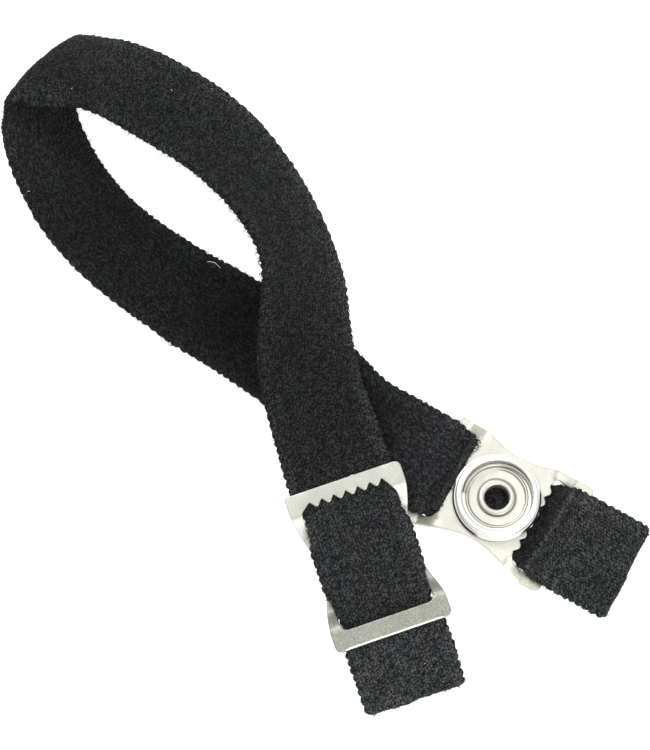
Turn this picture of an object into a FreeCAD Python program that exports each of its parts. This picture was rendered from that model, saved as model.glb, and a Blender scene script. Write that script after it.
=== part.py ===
import FreeCAD, Part
import os
from math import cos, exp, radians, sin, sqrt
from FreeCAD import Vector

# ESD wrist strap: one elastic band laid in an open loop, threaded through a snap plate near its
# short end and through an adjuster plate near its tail. Millimetres and degrees.
# Origin: centre of the snap socket's mouth. +Z up, out of the mouth. +X along the snap plate
# towards the band's short end. The table is MOUTH_HEIGHT below the origin.

# ---- driving dimensions -------------------------------------------------------------------------
MOUTH_HEIGHT = 6.3          # socket mouth above the table
BAND_WIDTH = 17.5
BAND_THICKNESS = 1.6
PINCHED_WIDTH = 15.4        # where a plate's slot squeezes the band
PINCH_REACH = 12.4          # half length of the squeezed stretch round a plate, its travel included
PINCH_RELIEF = 5.2          # half length of the free stretch over the adjuster's web
PINCH_BLEND = 2.6           # length over which the width changes
HINGE_GAP = 0.12            # clear slit between two band solids that turn about each other
FOLD_GAP = 0.4              # the same where the band is folded, so that its inside stays clear
FOLD_TIGHT = 21.35          # station where the fold's inner selvedge is drawn in furthest
FOLD_DRAW = 3.3             # how far it is drawn in there
FOLD_SPREAD = (0.7, 0.95)   # stations over which that fades, before and after
FOLD_LEAD = (20.1, 1.1, 0.7)            # a smaller pull before it: station, distance, spread
FOLD_PULL_WAY = (0.69, -0.72, 0.0)      # towards the inside of the loop

SHEET = 0.8                 # both plates are stamped from this sheet
PLATE_LENGTH = 27.2
PLATE_WIDTH = 20.2
PLATE_WAIST = 15.9
WEB_LENGTH = 14.8           # middle web, between the two slots
BAR_WIDTH = 3.25
SLOT_WIDTH = 16.2
PLATE_CORNER = 1.6          # outline corner radius
TRIMMED_CORNER = 0.4        # the one nearly square corner of the adjuster
SLOT_WEB_CORNER = 1.5       # a plain slot's corners beside the web
SLOT_BAR_CORNER = 0.9       # and beside the bar
BEND_CLEAR = 0.1            # how far the sheet's bends stay outside the web and the bars
TOOTH_PITCH = 2.1
TOOTH_COUNT = 6
TOOTH_HEIGHT = 1.0
TOOTHED_BAR_WIDTH = 2.0     # at the roots of its teeth
TOOTHED_BAR_ENDS = (1.4, 2.7)           # how far its slot's two ends start beyond the roots
WEB_TOOTH_HEIGHT = 0.7
WEB_TOOTH_END = 0.5         # how far the toothed web reaches beyond the roots at its two ends
BAND_PLAY = 0.15            # clear height between the band and the plate faces it rides on

RIM_RADIUS = 6.95           # snap socket, outside of the rolled rim
FLANGE_RADIUS = 7.4
LIP_RADIUS = 5.9            # inside of the rolled rim
DISH_RADIUS = 5.2
SOCKET_HEIGHT = 2.5
SOCKET_SHEET = 0.35
WIRE_RADIUS = 0.35          # spring ring
EYELET_BORE = 2.05
EYELET_WALL = 0.3
EYELET_ROLL = 3.15          # outside of the eyelet's rolled top

# ---- derived heights above the table ------------------------------------------------------------
PLATE_RUN_HEIGHT = SHEET + BAND_PLAY + BAND_THICKNESS / 2
WEB_TOP = MOUTH_HEIGHT - SOCKET_HEIGHT
WEB_OFFSET = WEB_TOP - SHEET / 2 - PLATE_RUN_HEIGHT
BAR_OFFSET = BAND_THICKNESS / 2 + BAND_PLAY + SHEET / 2

# ---- where the adjuster sits --------------------------------------------------------------------
ADJUSTER_CENTRE = (-13.6, -19.4)
ADJUSTER_HEIGHT = 3.9       # band centre above the table there
ADJUSTER_HEADING = -40.9    # towards the tail, degrees from +X
ADJUSTER_PITCH = 5.5        # the band falls towards the tail

# ---- the band's route ---------------------------------------------------------------------------
# Control stations of a uniform cubic B-spline, from the short end to the tail:
# (x, y, height above the table, azimuth of the ruling, tilt of the ruling).
END_STATIONS = [(25.0, 0.4, 0.90, 92.7, 0.0), (21.0, 0.2, 1.25, 91.0, 0.0)]
SNAP_STATIONS = END_STATIONS + [(x, 0.0, height, 90.0, 0.0) for x, height in (
    (17.0, PLATE_RUN_HEIGHT), (12.5, PLATE_RUN_HEIGHT), (7.5, PLATE_RUN_HEIGHT),
    (2.5, PLATE_RUN_HEIGHT), (-2.5, PLATE_RUN_HEIGHT), (-7.5, PLATE_RUN_HEIGHT),
    (-12.5, PLATE_RUN_HEIGHT), (-17.0, PLATE_RUN_HEIGHT), (-22.0, 1.30), (-27.0, 0.95))]
LOOP_STATIONS = [
    (-39.4, 3.7, 0.92, 86, 0), (-47.9, 4.4, 1.05, 85, 0), (-56.8, 4.6, 1.75, 84, -6),
    (-65.8, 4.7, 2.75, 83, -13), (-75.4, 5.4, 3.75, 77, -19), (-84.6, 7.7, 4.8, 66, -25),
    (-92.9, 11.8, 5.6, 50, -33), (-98.6, 16.9, 6.3, 42, -39), (-100.7, 21.0, 7.2, 66, -38),
    (-105.2, 28.0, 8.7, 80, -32), (-97.6, 27.9, 11.0, 85, -28), (-91.0, 29.7, 12.2, 90, -26),
    (-82.3, 29.9, 11.6, 90, -20), (-73.3, 29.9, 10.8, 84, -22), (-64.3, 27.6, 10.0, 75, -32),
    (-55.2, 23.7, 9.4, 62, -40), (-47.6, 18.2, 8.4, 46, -42), (-43.2, 11.0, 7.2, 36, -32),
    (-39.1, 4.1, 6.3, 38, -18), (-33.0, -2.2, 6.0, 45, -9)]
ADJUSTER_STEPS = (-19.0, -13.5, -8.5, -3.0, 3.0, 8.5, 13.5, 18.0)
TAIL_STEPS = ((21.8, 0.3), (24.8, 0.65))    # (step, drop below the adjuster's line)


def adjuster_axis():
    """Unit vector along the band at the adjuster, towards the tail."""
    heading = radians(ADJUSTER_HEADING)
    pitch = radians(ADJUSTER_PITCH)
    return Vector(cos(heading) * cos(pitch), sin(heading) * cos(pitch), -sin(pitch))


def adjuster_station(step, drop=0.0):
    """A station on the straight stretch through the adjuster."""
    point = Vector(ADJUSTER_CENTRE[0], ADJUSTER_CENTRE[1], ADJUSTER_HEIGHT) + adjuster_axis() * step
    return (point.x, point.y, point.z - drop, ADJUSTER_HEADING + 90.0, 0.0)


def all_stations():
    straight = [adjuster_station(step) for step in ADJUSTER_STEPS]
    tail = [adjuster_station(step, drop) for step, drop in TAIL_STEPS]
    return SNAP_STATIONS + LOOP_STATIONS + straight + tail


STATIONS = all_stations()
LAST = len(STATIONS) - 1

# Where the band is divided, counted in stations from the short end.
END_HINGE = 2.1
PLATE_RUN_END = 9.6
LOWER_RUN_END = 16.0
LOOP_HINGE = 20.5
FOLD_END = 24.0
UPPER_RUN_END = 31.6
TAIL_HINGE = LAST - 2.35


def spline(s):
    """Station values at parameter s, by the uniform cubic B-spline formula."""
    index = min(int(s), LAST - 1)
    t = s - index
    first, last = STATIONS[0], STATIONS[LAST]
    before = [2 * a - b for a, b in zip(first, STATIONS[1])]
    after = [2 * a - b for a, b in zip(last, STATIONS[LAST - 1])]
    row = [before] + list(STATIONS) + [after]
    weights = ((1 - t) ** 3, 3 * t ** 3 - 6 * t ** 2 + 4, -3 * t ** 3 + 3 * t ** 2 + 3 * t + 1, t ** 3)
    return [sum(w * row[index + k][i] for k, w in enumerate(weights)) / 6 for i in range(5)]


def fold_pull(s):
    """How far the fold's inner selvedge is drawn towards the inside of the loop."""
    spread = FOLD_SPREAD[0] if s < FOLD_TIGHT else FOLD_SPREAD[1]
    lead, lead_draw, lead_spread = FOLD_LEAD
    amount = FOLD_DRAW * exp(-((s - FOLD_TIGHT) / spread) ** 2)
    amount += lead_draw * exp(-((s - lead) / lead_spread) ** 2)
    return Vector(*FOLD_PULL_WAY) * amount


def edges_of(s):
    """The middles of both selvedges at parameter s, for a band of full width."""
    x, y, height, azimuth, tilt = spline(s)
    azimuth, tilt = radians(azimuth), radians(tilt)
    ruling = Vector(cos(azimuth) * cos(tilt), sin(azimuth) * cos(tilt), sin(tilt))
    middle = Vector(x, y, height - MOUTH_HEIGHT)
    return middle - ruling * (BAND_WIDTH / 2) + fold_pull(s), middle + ruling * (BAND_WIDTH / 2)


def centre(s):
    left, right = edges_of(s)
    return (left + right) * 0.5


def frame_at(s):
    """Centre, tangent, ruling direction and face normal of the band at parameter s.

    A ruling is the straight line across the band. It is square to the edges on the plain runs and
    slants in the fold, where the band rolls over obliquely.
    """
    step = 0.01
    low, high = max(s - step, 0.0), min(s + step, float(LAST))
    tangent = (centre(high) - centre(low)).normalize()
    left, right = edges_of(s)
    ruling = (right - left).normalize()
    return centre(s), tangent, ruling, ruling.cross(tangent).normalize()


def smooth_step(x):
    x = max(0.0, min(1.0, x))
    return x * x * (3 - 2 * x)


def half_width(point):
    """The slots of both plates squeeze the band; elsewhere it has its full width."""
    snap_centre = Vector(0, 0, PLATE_RUN_HEIGHT - MOUTH_HEIGHT)
    adjuster_centre = Vector(ADJUSTER_CENTRE[0], ADJUSTER_CENTRE[1], ADJUSTER_HEIGHT - MOUTH_HEIGHT)
    at_snap = 1 - smooth_step(((point - snap_centre).Length - PINCH_REACH) / PINCH_BLEND)
    away = (point - adjuster_centre).Length
    at_adjuster = 1 - smooth_step((away - PINCH_REACH) / PINCH_BLEND)
    at_adjuster *= smooth_step((away - PINCH_RELIEF + PINCH_BLEND) / PINCH_BLEND)
    squeeze = (BAND_WIDTH - PINCHED_WIDTH) / 2
    return BAND_WIDTH / 2 - squeeze * max(at_snap, at_adjuster)


def band_section(s):
    """Closed wire across the band along a ruling: two flat faces joined by round selvedges."""
    point, tangent, ruling, normal = frame_at(s)
    slant = ruling.cross(tangent).Length
    r = BAND_THICKNESS / 2
    flat = (half_width(point) - r) / slant
    edge = half_width(point) / slant
    top = normal * r
    upper_right = point + ruling * flat + top
    lower_right = point + ruling * flat - top
    upper_left = point - ruling * flat + top
    lower_left = point - ruling * flat - top
    right_side = Part.Arc(upper_right, point + ruling * edge, lower_right).toShape()
    left_side = Part.Arc(lower_left, point - ruling * edge, upper_left).toShape()
    bottom = Part.makeLine(lower_right, lower_left)
    return Part.Wire([Part.makeLine(upper_left, upper_right), right_side, bottom, left_side])


def band_piece(start, end):
    """A stretch of band between two parameters, with sections close enough to follow its bends."""
    count = max(3, int((end - start) * 3))
    stops = [start + (end - start) * i / count for i in range(count + 1)]
    return Part.makeLoft([band_section(s) for s in stops], True, False)


def gap_in_stations(s, gap=HINGE_GAP):
    """Half the hinge slit, in station units at s."""
    return gap / 2 / ((centre(s + 0.05) - centre(s - 0.05)).Length / 0.1)


# ---- stamped plates, in their own frame: X along the band, Y across, Z away from the web's far side
def arc_corner(x, y, radius):
    """Quarter-round outline corner at (x, y), as the two tangent points and the middle point."""
    sx, sy = (1 if x > 0 else -1), (1 if y > 0 else -1)
    on_end = Vector(x, y - sy * radius, 0)
    on_side = Vector(x - sx * radius, y, 0)
    inset = radius * (1 - sqrt(0.5))
    return on_end, Vector(x - sx * inset, y - sy * inset, 0), on_side


def plate_outline(corner_radii):
    """Hourglass outline. Corner order: (+X, -Y), (+X, +Y), (-X, +Y), (-X, -Y)."""
    end, side, waist = PLATE_LENGTH / 2, PLATE_WIDTH / 2, PLATE_WAIST / 2
    shoulder = WEB_LENGTH / 2 + 0.8
    signs = ((1, -1), (1, 1), (-1, 1), (-1, -1))
    corners = [arc_corner(sx * end, sy * side, r) for (sx, sy), r in zip(signs, corner_radii)]
    edges = []
    for index in (0, 2):
        first, second = corners[index], corners[index + 1]
        sx, sy = signs[index + 1]
        edges.append(Part.Arc(first[2], first[1], first[0]).toShape())
        edges.append(Part.makeLine(first[0], second[0]))
        edges.append(Part.Arc(second[0], second[1], second[2]).toShape())
        near = Vector(sx * shoulder, sy * side, 0)
        far = Vector(-sx * shoulder, sy * side, 0)
        edges.append(Part.makeLine(second[2], near))
        edges.append(Part.Arc(near, Vector(0, sy * waist, 0), far).toShape())
        edges.append(Part.makeLine(far, corners[(index + 2) % 4][2]))
    return Part.Face(Part.Wire(Part.__sortEdges__(edges)))


def sheet_profile(web_level, bar_level):
    """Side view of the bent sheet: bars at the ends, ramps, and the web in the middle."""
    end = PLATE_LENGTH / 2 + 1
    foot = PLATE_LENGTH / 2 - BAR_WIDTH - BEND_CLEAR
    head = WEB_LENGTH / 2 + BEND_CLEAR
    line = [(-end, bar_level), (-foot, bar_level), (-head, web_level),
            (head, web_level), (foot, bar_level), (end, bar_level)]
    top = [Vector(x, -PLATE_WIDTH, z + SHEET / 2) for x, z in line]
    bottom = [Vector(x, -PLATE_WIDTH, z - SHEET / 2) for x, z in reversed(line)]
    face = Part.Face(Part.makePolygon(top + bottom + top[:1]))
    return face.extrude(Vector(0, 2 * PLATE_WIDTH, 0))


def plain_slot(sx):
    """Slot with round corners between the web and the bar on side sx."""
    near, far = WEB_LENGTH / 2, PLATE_LENGTH / 2 - BAR_WIDTH
    width, length = SLOT_WIDTH, far - near
    slot = Part.makeBox(length, width, 20, Vector(min(sx * near, sx * far), -width / 2, -10))
    corners = [edge for edge in slot.Edges if abs(edge.Vertexes[0].Z - edge.Vertexes[-1].Z) > 1]
    at_web = [edge for edge in corners if abs(edge.Vertexes[0].X) < near + 0.1]
    at_bar = [edge for edge in corners if abs(edge.Vertexes[0].X) > near + 0.1]
    bar_corners = slot.cut(slot.makeFillet(SLOT_BAR_CORNER, at_bar))
    return slot.makeFillet(SLOT_WEB_CORNER, at_web).cut(bar_corners)


def zigzag(x_root, x_tip):
    """Points of a toothed edge along Y: roots at x_root, tips at x_tip."""
    half = TOOTH_COUNT * TOOTH_PITCH / 2
    points = []
    for i in range(TOOTH_COUNT):
        y = -half + i * TOOTH_PITCH
        points.append((x_root, y))
        points.append((x_tip, y + 0.38 * TOOTH_PITCH))
        points.append((x_tip, y + 0.62 * TOOTH_PITCH))
    points.append((x_root, half))
    return points


def prism(points):
    corners = [Vector(x, y, -10) for x, y in points]
    return Part.Face(Part.makePolygon(corners + corners[:1])).extrude(Vector(0, 0, 20))


def toothed_bar_slot():
    """Slot on the -X side whose bar carries teeth that point at the web."""
    root = -(PLATE_LENGTH / 2 - TOOTHED_BAR_WIDTH)
    side = SLOT_WIDTH / 2
    first_end, last_end = TOOTHED_BAR_ENDS
    points = [(-WEB_LENGTH / 2, -side), (root + first_end, -side)]
    points += zigzag(root, root + TOOTH_HEIGHT)
    points += [(root + last_end, side), (-WEB_LENGTH / 2, side)]
    return prism(points)


def toothed_web_slot():
    """Slot on the +X side where the web's edge carries the teeth."""
    root = WEB_LENGTH / 2 - WEB_TOOTH_HEIGHT
    far, side = PLATE_LENGTH / 2 - BAR_WIDTH, SLOT_WIDTH / 2
    points = [(far, -side), (root + WEB_TOOTH_END, -side)]
    points += zigzag(root, WEB_LENGTH / 2)
    points += [(root + WEB_TOOTH_END, side), (far, side)]
    return prism(points)


def stamped_plate(web_level, bar_level, corner_radii, slots):
    outline = plate_outline(corner_radii).extrude(Vector(0, 0, 20))
    outline.translate(Vector(0, 0, -10))
    plate = sheet_profile(web_level, bar_level).common(outline)
    for slot in slots:
        plate = plate.cut(slot)
    return plate.Solids[0]


def snap_plate():
    plate = stamped_plate(WEB_OFFSET, -BAR_OFFSET, (PLATE_CORNER,) * 4,
                          (plain_slot(-1), toothed_web_slot()))
    plate.translate(Vector(0, 0, PLATE_RUN_HEIGHT - MOUTH_HEIGHT))
    hole = Part.makeCylinder(EYELET_BORE + EYELET_WALL + 0.05, 20, Vector(0, 0, -10))
    return plate.cut(hole).Solids[0]


def adjuster_plate():
    corners = (PLATE_CORNER, PLATE_CORNER, PLATE_CORNER, TRIMMED_CORNER)
    plate = stamped_plate(-BAR_OFFSET, BAR_OFFSET, corners, (plain_slot(1), toothed_bar_slot()))
    plate.rotate(Vector(0, 0, 0), Vector(0, 1, 0), ADJUSTER_PITCH)
    plate.rotate(Vector(0, 0, 0), Vector(0, 0, 1), ADJUSTER_HEADING)
    place = Vector(ADJUSTER_CENTRE[0], ADJUSTER_CENTRE[1], ADJUSTER_HEIGHT - MOUTH_HEIGHT)
    plate.translate(place)
    return plate


# ---- snap socket, turned about the Z axis; heights are measured from the mouth ------------------
def turned(edges):
    face = Part.Face(Part.Wire(Part.__sortEdges__(edges)))
    return face.revolve(Vector(0, 0, 0), Vector(0, 0, 1), 360)


def path(points):
    """Edges through (r, z) points; a triple (r, z, 'via') bends the edge through that point."""
    edges = []
    start, via = points[0], None
    for point in points[1:] + points[:1]:
        if len(point) == 3:
            via = point
            continue
        a, b = Vector(start[0], 0, start[1]), Vector(point[0], 0, point[1])
        if via is None:
            edges.append(Part.makeLine(a, b))
        else:
            edges.append(Part.Arc(a, Vector(via[0], 0, via[1]), b).toShape())
        start, via = point, None
    return edges


def socket_shell():
    """Rolled rim, spring channel, side wall and the flange that stands just clear of the web."""
    base = -SOCKET_HEIGHT
    flange_top, flange_under = -1.75, -2.1
    channel_roof, channel_floor = -0.72, -1.7
    channel_wall = 6.55
    seat = 6.75
    return turned(path([
        (LIP_RADIUS, channel_roof), (LIP_RADIUS, -0.42), (LIP_RADIUS + 0.13, -0.13, "via"),
        (LIP_RADIUS + 0.42, 0.0), (RIM_RADIUS - 0.5, 0.0), (RIM_RADIUS - 0.14, -0.16, "via"),
        (RIM_RADIUS, -0.55), (RIM_RADIUS, flange_top), (FLANGE_RADIUS - 0.12, flange_top),
        (FLANGE_RADIUS, (flange_top + flange_under) / 2, "via"),
        (FLANGE_RADIUS - 0.12, flange_under), (seat, flange_under), (seat, base),
        (DISH_RADIUS + 0.05, base), (DISH_RADIUS + 0.05, channel_floor),
        (channel_wall, channel_floor), (channel_wall, channel_roof)]))


def socket_dish():
    """Shallow dished floor inside the shell, held down by the eyelet."""
    under = -SOCKET_HEIGHT + 0.02
    floor = under + SOCKET_SHEET
    hole = EYELET_BORE + EYELET_WALL + 0.05
    inner = DISH_RADIUS - SOCKET_SHEET
    return turned(path([
        (hole, under), (DISH_RADIUS, under), (DISH_RADIUS, -1.86), (DISH_RADIUS - 0.17, -1.74, "via"),
        (inner, -1.86), (inner - 0.1, floor + 0.15), (inner - 0.25, floor + 0.04, "via"),
        (inner - 0.5, floor), (hole, floor)]))


def eyelet():
    """Tubular rivet: rolled top over the dish, tube through the web, flange below it."""
    tube = EYELET_BORE + EYELET_WALL
    flange_top = -SOCKET_HEIGHT - SHEET - 0.02
    flange_under = flange_top - 0.26
    roll_foot, roll_top = -2.08, -1.5
    middle = (EYELET_BORE + EYELET_ROLL) / 2
    return turned(path([
        (EYELET_BORE, flange_under), (3.0, flange_under), (3.0, flange_top), (tube, flange_top),
        (tube, roll_foot), (EYELET_ROLL - 0.15, roll_foot),
        (EYELET_ROLL, roll_foot + 0.22, "via"), (middle + 0.15, roll_top),
        (EYELET_BORE + 0.1, roll_top - 0.12, "via"), (EYELET_BORE, roll_top - 0.4)]))


def spring_ring():
    """Open ring of round wire. Its free end stands inward; the rest runs under the rolled lip."""
    start, sweep, turns = 201.0, -300.0, 24
    level = -1.28
    points = []
    for i in range(turns + 1):
        share = i / turns
        angle = radians(start + sweep * share)
        radius = 5.45 + 0.7 * smooth_step((share - 0.25) / 0.45)
        points.append(Vector(radius * cos(angle), radius * sin(angle), level))
    curve = Part.BSplineCurve()
    curve.interpolate(points)
    spine = Part.Wire([curve.toShape()])
    tangent = curve.tangent(curve.FirstParameter)[0]
    profile = Part.Wire([Part.makeCircle(WIRE_RADIUS, points[0], tangent)])
    return spine.makePipeShell([profile], True, True)


def band_nodes():
    end_gap = gap_in_stations(END_HINGE)
    loop_gap = gap_in_stations(LOOP_HINGE, FOLD_GAP)
    tail_gap = gap_in_stations(TAIL_HINGE)
    return {
        "band_short_end": band_piece(0.0, END_HINGE - end_gap),
        "band_plate_run": band_piece(END_HINGE + end_gap, PLATE_RUN_END),
        "band_lower_run": band_piece(PLATE_RUN_END, LOWER_RUN_END),
        "band_fold_lower": band_piece(LOWER_RUN_END, LOOP_HINGE - loop_gap),
        "band_fold_upper": band_piece(LOOP_HINGE + loop_gap, FOLD_END),
        "band_upper_run": band_piece(FOLD_END, UPPER_RUN_END),
        "band_adjuster_run": band_piece(UPPER_RUN_END, TAIL_HINGE - tail_gap),
        "band_tail": band_piece(TAIL_HINGE + tail_gap, float(LAST)),
    }


def hinge_line(s, side):
    """Pivot on one face of the band and the ruling there, for the joints."""
    point, _, ruling, normal = frame_at(s)
    return point + normal * (side * BAND_THICKNESS / 2), ruling


def main():
    os.makedirs("parts", exist_ok=True)
    nodes = band_nodes()
    nodes["snap_plate"] = snap_plate()
    nodes["adjuster_plate"] = adjuster_plate()
    nodes["socket_shell"] = socket_shell()
    nodes["socket_dish"] = socket_dish()
    nodes["socket_eyelet"] = eyelet()
    nodes["spring_ring"] = spring_ring()
    for name, shape in nodes.items():
        box = shape.BoundBox
        print(name, shape.ShapeType, shape.isValid(), len(shape.Faces), round(shape.Volume, 1),
              [round(v, 2) for v in (box.XMin, box.XMax, box.YMin, box.YMax, box.ZMin, box.ZMax)])
        shape.exportStep("parts/%s.step" % name)
    for label, s in (("end hinge", END_HINGE), ("loop hinge", LOOP_HINGE), ("tail hinge", TAIL_HINGE)):
        for side in (1, -1):
            pivot, ruling = hinge_line(s, side)
            print(label, side, [round(v, 3) for v in pivot], [round(v, 4) for v in ruling])


main()
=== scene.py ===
"""Looks of the ESD wrist strap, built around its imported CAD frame.

Lengths below are in millimetres unless a name says otherwise; MM turns them into the metres of the
CAD frame. The band is one grid of vertices, cut into the pieces that the CAD's band nodes stand for.
"""
import bmesh
import bpy
import math
import numpy as np
from mathutils import Matrix, Vector


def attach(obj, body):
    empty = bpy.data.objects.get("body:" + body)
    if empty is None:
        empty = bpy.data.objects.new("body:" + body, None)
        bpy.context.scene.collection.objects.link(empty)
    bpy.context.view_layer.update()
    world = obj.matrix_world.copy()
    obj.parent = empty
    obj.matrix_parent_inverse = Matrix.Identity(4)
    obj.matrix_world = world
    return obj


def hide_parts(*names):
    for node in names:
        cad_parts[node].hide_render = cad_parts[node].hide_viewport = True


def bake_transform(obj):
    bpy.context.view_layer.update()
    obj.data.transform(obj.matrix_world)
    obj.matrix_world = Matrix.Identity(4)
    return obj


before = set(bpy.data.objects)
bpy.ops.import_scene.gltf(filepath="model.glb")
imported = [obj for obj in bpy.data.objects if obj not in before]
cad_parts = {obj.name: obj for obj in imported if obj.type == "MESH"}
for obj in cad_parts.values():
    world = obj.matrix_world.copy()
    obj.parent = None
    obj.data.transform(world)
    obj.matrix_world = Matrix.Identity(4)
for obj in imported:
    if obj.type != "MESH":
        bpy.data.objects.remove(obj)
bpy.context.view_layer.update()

MM = 0.001

# ---- the band's route ---------------------------------------------------------------------------
# The same stations as the CAD: x, y, height above the table, ruling azimuth and ruling tilt, in
# millimetres and degrees. A station's place in the list is its parameter s along the band.
MOUTH_HEIGHT = 6.3
PLATE_RUN_HEIGHT = 1.75
ADJUSTER_CENTRE = (-13.6, -19.4)
ADJUSTER_HEIGHT = 3.9
ADJUSTER_HEADING = -40.9
ADJUSTER_PITCH = 5.5
END_STATIONS = [(25.0, 0.4, 0.90, 92.7, 0.0), (21.0, 0.2, 1.25, 91.0, 0.0)]
SNAP_STATIONS = END_STATIONS + [(x, 0.0, height, 90.0, 0.0) for x, height in (
    (17.0, PLATE_RUN_HEIGHT), (12.5, PLATE_RUN_HEIGHT), (7.5, PLATE_RUN_HEIGHT),
    (2.5, PLATE_RUN_HEIGHT), (-2.5, PLATE_RUN_HEIGHT), (-7.5, PLATE_RUN_HEIGHT),
    (-12.5, PLATE_RUN_HEIGHT), (-17.0, PLATE_RUN_HEIGHT), (-22.0, 1.30), (-27.0, 0.95))]
LOOP_STATIONS = [
    (-39.4, 3.7, 0.92, 86, 0), (-47.9, 4.4, 1.05, 85, 0), (-56.8, 4.6, 1.75, 84, -6),
    (-65.8, 4.7, 2.75, 83, -13), (-75.4, 5.4, 3.75, 77, -19), (-84.6, 7.7, 4.8, 66, -25),
    (-92.9, 11.8, 5.6, 50, -33), (-98.6, 16.9, 6.3, 42, -39), (-100.7, 21.0, 7.2, 66, -38),
    (-105.2, 28.0, 8.7, 80, -32), (-97.6, 27.9, 11.0, 85, -28), (-91.0, 29.7, 12.2, 90, -26),
    (-82.3, 29.9, 11.6, 90, -20), (-73.3, 29.9, 10.8, 84, -22), (-64.3, 27.6, 10.0, 75, -32),
    (-55.2, 23.7, 9.4, 62, -40), (-47.6, 18.2, 8.4, 46, -42), (-43.2, 11.0, 7.2, 36, -32),
    (-39.1, 4.1, 6.3, 38, -18), (-33.0, -2.2, 6.0, 45, -9)]
ADJUSTER_STEPS = (-19.0, -13.5, -8.5, -3.0, 3.0, 8.5, 13.5, 18.0)
TAIL_STEPS = ((21.8, 0.3), (24.8, 0.65))
FOLD_TIGHT = 21.35          # station where the fold is tightest
FOLD_DRAW, FOLD_LEAD = 3.3, 1.1
FOLD_SPREAD_BEFORE, FOLD_SPREAD_AFTER = 0.7, 0.95
FOLD_PULL_WAY = (0.69, -0.72, 0.0)


def adjuster_axis():
    """Unit vector along the band at the adjuster, towards the tail."""
    heading, pitch = math.radians(ADJUSTER_HEADING), math.radians(ADJUSTER_PITCH)
    return np.array([math.cos(heading) * math.cos(pitch), math.sin(heading) * math.cos(pitch),
                     -math.sin(pitch)])


def all_stations():
    """Stations of the whole band: snap plate, loop, adjuster and tail."""
    start = np.array([*ADJUSTER_CENTRE, ADJUSTER_HEIGHT])
    rows = SNAP_STATIONS + LOOP_STATIONS
    for step, drop in [(step, 0.0) for step in ADJUSTER_STEPS] + list(TAIL_STEPS):
        x, y, z = start + adjuster_axis() * step
        rows.append((x, y, z - drop, ADJUSTER_HEADING + 90.0, 0.0))
    return np.array(rows, float)


STATIONS = all_stations()
LAST = len(STATIONS) - 1
# Middle of each plate in the CAD frame, whose origin is the snap socket's mouth.
SNAP_PLACE = (0, 0, PLATE_RUN_HEIGHT - MOUTH_HEIGHT)
ADJUSTER_PLACE = (*ADJUSTER_CENTRE, ADJUSTER_HEIGHT - MOUTH_HEIGHT)


def spline(s):
    """Station values at each parameter of s, by the uniform cubic B-spline formula."""
    first, last = 2 * STATIONS[0] - STATIONS[1], 2 * STATIONS[-1] - STATIONS[-2]
    row = np.vstack([first, STATIONS, last])
    index = np.minimum(s.astype(int), LAST - 1)
    t = (s - index)[:, None]
    weights = ((1 - t) ** 3, 3 * t ** 3 - 6 * t ** 2 + 4, -3 * t ** 3 + 3 * t ** 2 + 3 * t + 1, t ** 3)
    return sum(w * row[index + k] for k, w in enumerate(weights)) / 6


def unit(v):
    """Vectors scaled to length 1."""
    return v / np.linalg.norm(v, axis=-1, keepdims=True)


def frames(s):
    """Centre, tangent, ruling and face normal of the band at each parameter of s."""
    def centre(at):
        return spline(at)[:, :3] - (0, 0, MOUTH_HEIGHT)
    tangent = unit(centre(np.minimum(s + 0.01, LAST)) - centre(np.maximum(s - 0.01, 0)))
    azimuth, tilt = np.radians(spline(s)[:, 3:]).T
    ruling = np.stack([np.cos(azimuth) * np.cos(tilt), np.sin(azimuth) * np.cos(tilt), np.sin(tilt)], 1)
    return centre(s), tangent, ruling, unit(np.cross(ruling, tangent))


def bell(distance, spread):
    """Smooth bump: 1 at distance 0, and nearly 0 beyond twice the spread."""
    return np.exp(-(distance / spread) ** 2)


def fold_pull(s):
    """How far the fold's inner selvedge is drawn towards the inside of the loop."""
    spread = np.where(s < FOLD_TIGHT, FOLD_SPREAD_BEFORE, FOLD_SPREAD_AFTER)
    amount = FOLD_DRAW * bell(s - FOLD_TIGHT, spread) + FOLD_LEAD * bell(s - 20.1, 0.7)
    return np.array(FOLD_PULL_WAY) * amount[:, None]


def smooth_step(x):
    """0 below 0 and 1 above 1, with a smooth rise between."""
    x = np.clip(x, 0, 1)
    return x * x * (3 - 2 * x)


# ---- the band as a sheet of stitches ------------------------------------------------------------
# a is the distance from the short end's cut along the band, w the distance across from its middle,
# and up the share of the way to the face on the normal's side: 1 there, -1 on the other face.
BAND_WIDTH = 17.5
BAND_THICKNESS = 1.6
GRID = 0.16                 # spacing of the fabric's mesh, along and across
EDGE_STEPS = 8              # steps round a selvedge
CUT_CORNER = 1.1            # radius of the corners at both cut ends
CREASE_AT = 14.75           # pressed crease on the short end: its distance a, on the middle line
CREASE_LEAN = 0.03          # how much a changes along the crease, per millimetre across
CREASE_HEIGHT, CREASE_SPREAD = 0.42, 0.55
FOLD_BULGE_AT = 21.15       # station where the folded band stands out furthest
FOLD_BULGE = (-0.12, 0.02, 0.0)
TABLE_ROWS, TABLE_COLUMNS = 997, 61
GRAIN = 0.25                # how strongly single fibres change the yarn's brightness


def table_of(seed):
    """Random numbers from -1 to 1, one for each cell of a pattern that repeats."""
    return np.random.default_rng(seed).uniform(-1, 1, (TABLE_ROWS, TABLE_COLUMNS))


def noise_grid(a, w, cell_a, cell_w, seed):
    """Smooth random field over the flat band, from -1 to 1. a runs along it and w across."""
    table = table_of(seed)
    u, v = a / cell_a + 40, w / cell_w + 30
    i, j = np.floor(u).astype(int), np.floor(v).astype(int)
    p, q = smooth_step(u - i), smooth_step(v - j)

    def at(di, dj):
        return table[(i + di) % TABLE_ROWS, (j + dj) % TABLE_COLUMNS]
    return (at(0, 0) * (1 - p) + at(1, 0) * p) * (1 - q) + (at(0, 1) * (1 - p) + at(1, 1) * p) * q


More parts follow.
